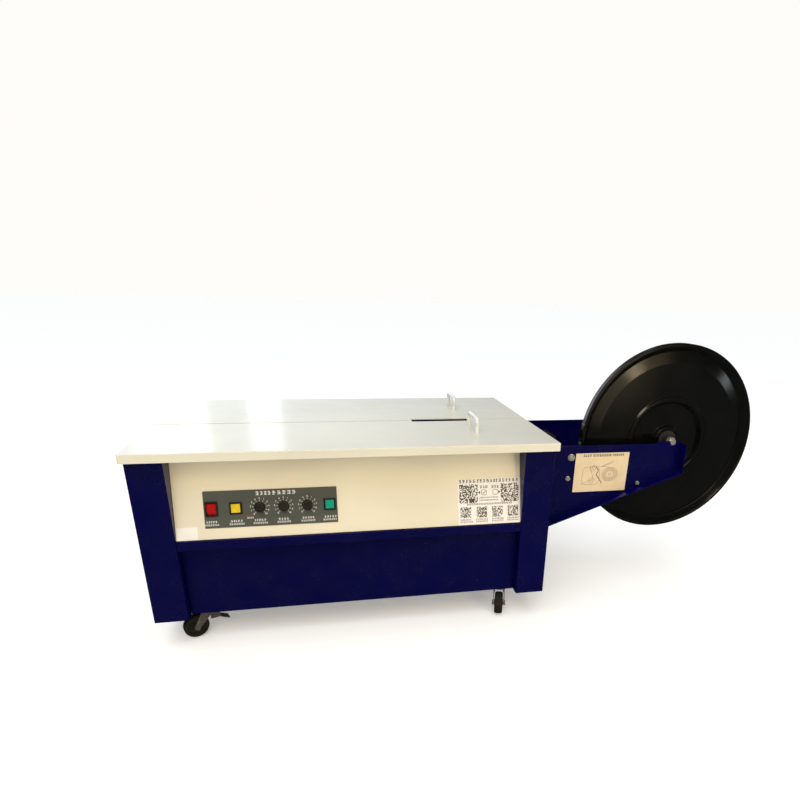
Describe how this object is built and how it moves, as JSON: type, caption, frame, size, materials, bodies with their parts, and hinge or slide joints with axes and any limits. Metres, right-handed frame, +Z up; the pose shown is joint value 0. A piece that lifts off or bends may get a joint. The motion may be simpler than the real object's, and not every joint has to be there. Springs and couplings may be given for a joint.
{
  "type": "semi automatic strapping machine",
  "caption": "Low-table strapping machine on castors: hinged plates with a strap slot, sloping control panel, sealing head, strap feed, and a strap reel on a side arm.",
  "frame": {"origin": "on the floor, under the centre of the box round the whole machine with its reel", "axes": "+Z up; -Y is the operator side with the control panel; +X points along the table towards the reel arm"},
  "size_m": [1.459, 0.565, 0.655],
  "materials": {
    "cream_table_enamel": "glossy baked enamel, off-white",
    "blue_enamel": "glossy deep blue enamel",
    "cream_panel_enamel": "semi-gloss cream enamel",
    "grey_control_plate": "satin mid grey, printed",
    "zinc_steel": "bright zinc plate",
    "chrome_bar": "polished chrome plate",
    "black_plastic": "moulded black plastic",
    "galvanised_sheet": "galvanised sheet",
    "red_lit_plastic": "translucent red moulding",
    "yellow_plastic": "yellow moulding",
    "green_plastic": "teal green moulding",
    "dark_nylon": "black nylon",
    "dark_steel": "dark tarnished plate",
    "black_enamel": "glossy black enamel",
    "machined_steel": "ground steel",
    "cast_motor_grey": "painted cast housing",
    "feed_rubber": "rubber tread",
    "control_box_grey": "moulded box",
    "castor_tread": "dark tread"
  },
  "bodies": {
    "cabinet": {"left_side_panel": "blue_enamel", "right_side_panel": "blue_enamel", "front_rail": "blue_enamel", "lower_front_panel": "blue_enamel", "rear_panel": "blue_enamel", "cable_gland": "black_plastic", "base_tray": "galvanised_sheet", "top_frame": "galvanised_sheet", "control_panel": "cream_panel_enamel", "control_plate": "grey_control_plate", "panel_screws": "zinc_steel", "power_switch_bezel": "black_plastic", "button_bezels": "black_plastic", "potentiometers": "black_plastic", "table_hinge_pins": "zinc_steel", "castor_plates": "zinc_steel", "arm_front_plate": "blue_enamel", "arm_rear_plate": "blue_enamel", "arm_cross_shafts": "zinc_steel", "arm_bolts": "zinc_steel", "reel_axle": "zinc_steel", "reel_axle_nuts": "zinc_steel", "head_frame": "machined_steel", "cam_gear_motor": "cast_motor_grey", "feed_motor": "cast_motor_grey", "strap_box": "galvanised_sheet", "control_box": "control_box_grey"},
    "front_table": {"front_table_plate": "cream_table_enamel", "front_package_stop": "chrome_bar"},
    "rear_table": {"rear_table_plate": "cream_table_enamel", "rear_package_stop": "chrome_bar"},
    "power_switch": {"power_rocker": "red_lit_plastic"},
    "reset": {"reset_button": "yellow_plastic"},
    "feed": {"feed_button": "green_plastic"},
    "feed_length": {"feed_length_knob": "black_plastic"},
    "tension": {"tension_knob": "black_plastic"},
    "cooling_time": {"cooling_time_knob": "black_plastic"},
    "reel": {"reel_front_disc": "black_enamel", "reel_hub_tube": "black_enamel", "reel_hub_bushes": "dark_nylon"},
    "rear_disc": {"reel_rear_disc": "black_enamel"},
    "upper_roller": {"upper_guide_roller": "dark_nylon"},
    "lower_roller": {"lower_guide_roller": "dark_nylon"},
    "cam_drive": {"camshaft": "machined_steel", "cams": "machined_steel"},
    "left_ram": {"left_gripper": "machined_steel"},
    "press_ram": {"press_and_cutter": "machined_steel"},
    "right_ram": {"right_gripper": "machined_steel"},
    "feed_drive": {"feed_roller": "feed_rubber"},
    "feed_pinch": {"pinch_roller": "feed_rubber"},
    "front_left_castor": {"castor_fork_front_left": "dark_steel"},
    "front_left_wheel": {"castor_wheel_front_left": "castor_tread"},
    "front_left_pedal": {"castor_pedal_front_left": "dark_steel"},
    "front_right_castor": {"castor_fork_front_right": "dark_steel"},
    "front_right_wheel": {"castor_wheel_front_right": "castor_tread"},
    "front_right_pedal": {"castor_pedal_front_right": "dark_steel"},
    "rear_left_castor": {"castor_fork_rear_left": "dark_steel"},
    "rear_left_wheel": {"castor_wheel_rear_left": "castor_tread"},
    "rear_right_castor": {"castor_fork_rear_right": "dark_steel"},
    "rear_right_wheel": {"castor_wheel_rear_right": "castor_tread"}
  },
  "joints": [
    {"name": "front_table_hinge", "type": "hinge", "parent": "cabinet", "child": "front_table", "pos_m": [0, -0.2745, 0.441], "axis": [1, 0, 0], "range_deg": [0, 88]},
    {"name": "rear_table_hinge", "type": "hinge", "parent": "cabinet", "child": "rear_table", "pos_m": [0, 0.2745, 0.441], "axis": [-1, 0, 0], "range_deg": [0, 88]},
    {"name": "power_rocker_tilt", "type": "hinge", "parent": "cabinet", "child": "power_switch", "pos_m": [-0.5823, -0.239, 0.31734], "axis": [-1, 0, 0], "range_deg": [0, 16]},
    {"name": "reset_press", "type": "slide", "parent": "cabinet", "child": "reset", "axis": [0, 0.9699, -0.2436], "range_m": [0, 0.003], "stiffness_N_per_m": 400, "springref_m": -0.001},
    {"name": "feed_press", "type": "slide", "parent": "cabinet", "child": "feed", "axis": [0, 0.9699, -0.2436], "range_m": [0, 0.003], "stiffness_N_per_m": 400, "springref_m": -0.001},
    {"name": "feed_length_turn", "type": "hinge", "parent": "cabinet", "child": "feed_length", "pos_m": [-0.4862, -0.24191, 0.31807], "axis": [0, -0.9699, 0.2436], "range_deg": [-140, 140]},
    {"name": "tension_turn", "type": "hinge", "parent": "cabinet", "child": "tension", "pos_m": [-0.4374, -0.24191, 0.31807], "axis": [0, -0.9699, 0.2436], "range_deg": [-140, 140]},
    {"name": "cooling_time_turn", "type": "hinge", "parent": "cabinet", "child": "cooling_time", "pos_m": [-0.3881, -0.24191, 0.31807], "axis": [0, -0.9699, 0.2436], "range_deg": [-140, 140]},
    {"name": "reel_spin", "type": "hinge", "parent": "cabinet", "child": "reel", "pos_m": [0.4965, -0.0555, 0.422], "axis": [0, 1, 0], "continuous": true},
    {"name": "rear_disc_slide", "type": "slide", "parent": "reel", "child": "rear_disc", "axis": [0, 1, 0], "range_m": [0, 0.18]},
    {"name": "upper_roller_spin", "type": "hinge", "parent": "cabinet", "child": "upper_roller", "pos_m": [0.2293, -0.0245, 0.392], "axis": [0, 1, 0], "continuous": true},
    {"name": "lower_roller_spin", "type": "hinge", "parent": "cabinet", "child": "lower_roller", "pos_m": [0.2253, -0.0245, 0.3396], "axis": [0, 1, 0], "continuous": true},
    {"name": "camshaft_turn", "type": "hinge", "parent": "cabinet", "child": "cam_drive", "pos_m": [-0.061, -0.0245, 0.33], "axis": [1, 0, 0], "continuous": true},
    {"name": "left_ram_lift", "type": "slide", "parent": "cabinet", "child": "left_ram", "axis": [0, 0, 1], "range_m": [0, 0.012]},
    {"name": "press_ram_lift", "type": "slide", "parent": "cabinet", "child": "press_ram", "axis": [0, 0, 1], "range_m": [0, 0.012]},
    {"name": "right_ram_lift", "type": "slide", "parent": "cabinet", "child": "right_ram", "axis": [0, 0, 1], "range_m": [0, 0.012]},
    {"name": "feed_roller_turn", "type": "hinge", "parent": "cabinet", "child": "feed_drive", "pos_m": [0.0565, -0.0245, 0.358], "axis": [0, 1, 0], "continuous": true},
    {"name": "pinch_roller_turn", "type": "hinge", "parent": "cabinet", "child": "feed_pinch", "pos_m": [0.0565, -0.0245, 0.3946], "axis": [0, 1, 0], "continuous": true},
    {"name": "front_left_swivel", "type": "hinge", "parent": "cabinet", "child": "front_left_castor", "pos_m": [-0.6315, -0.2045, 0.06], "axis": [0, 0, 1], "continuous": true},
    {"name": "front_left_roll", "type": "hinge", "parent": "front_left_castor", "child": "front_left_wheel", "pos_m": [-0.65597, -0.21591, 0.0275], "axis": [0.4226, -0.9063, 0], "continuous": true},
    {"name": "front_left_pedal_press", "type": "hinge", "parent": "front_left_castor", "child": "front_left_pedal", "pos_m": [-0.61247, -0.19562, 0.044], "axis": [-0.4226, 0.9063, 0], "range_deg": [0, 12]},
    {"name": "front_right_swivel", "type": "hinge", "parent": "cabinet", "child": "front_right_castor", "pos_m": [0.0675, -0.2045, 0.06], "axis": [0, 0, 1], "continuous": true},
    {"name": "front_right_roll", "type": "hinge", "parent": "front_right_castor", "child": "front_right_wheel", "pos_m": [0.05961, -0.23032, 0.0275], "axis": [0.9563, -0.2924, 0], "continuous": true},
    {"name": "front_right_pedal_press", "type": "hinge", "parent": "front_right_castor", "child": "front_right_pedal", "pos_m": [0.07364, -0.18442, 0.044], "axis": [-0.9563, 0.2924, 0], "range_deg": [0, 12]},
    {"name": "rear_left_swivel", "type": "hinge", "parent": "cabinet", "child": "rear_left_castor", "pos_m": [-0.6315, 0.2045, 0.06], "axis": [0, 0, 1], "continuous": true},
    {"name": "rear_left_roll", "type": "hinge", "parent": "rear_left_castor", "child": "rear_left_wheel", "pos_m": [-0.65687, 0.21374, 0.0275], "axis": [-0.342, -0.9397, 0], "continuous": true},
    {"name": "rear_right_swivel", "type": "hinge", "parent": "cabinet", "child": "rear_right_castor", "pos_m": [0.0675, 0.2045, 0.06], "axis": [0, 0, 1], "continuous": true},
    {"name": "rear_right_roll", "type": "hinge", "parent": "rear_right_castor", "child": "rear_right_wheel", "pos_m": [0.04538, 0.18901, 0.0275], "axis": [0.5736, -0.8192, 0], "continuous": true}
  ],
  "couplings": [
    {"joint": "pinch_roller_turn", "follows": "feed_roller_turn", "ratio": -2}
  ]
}
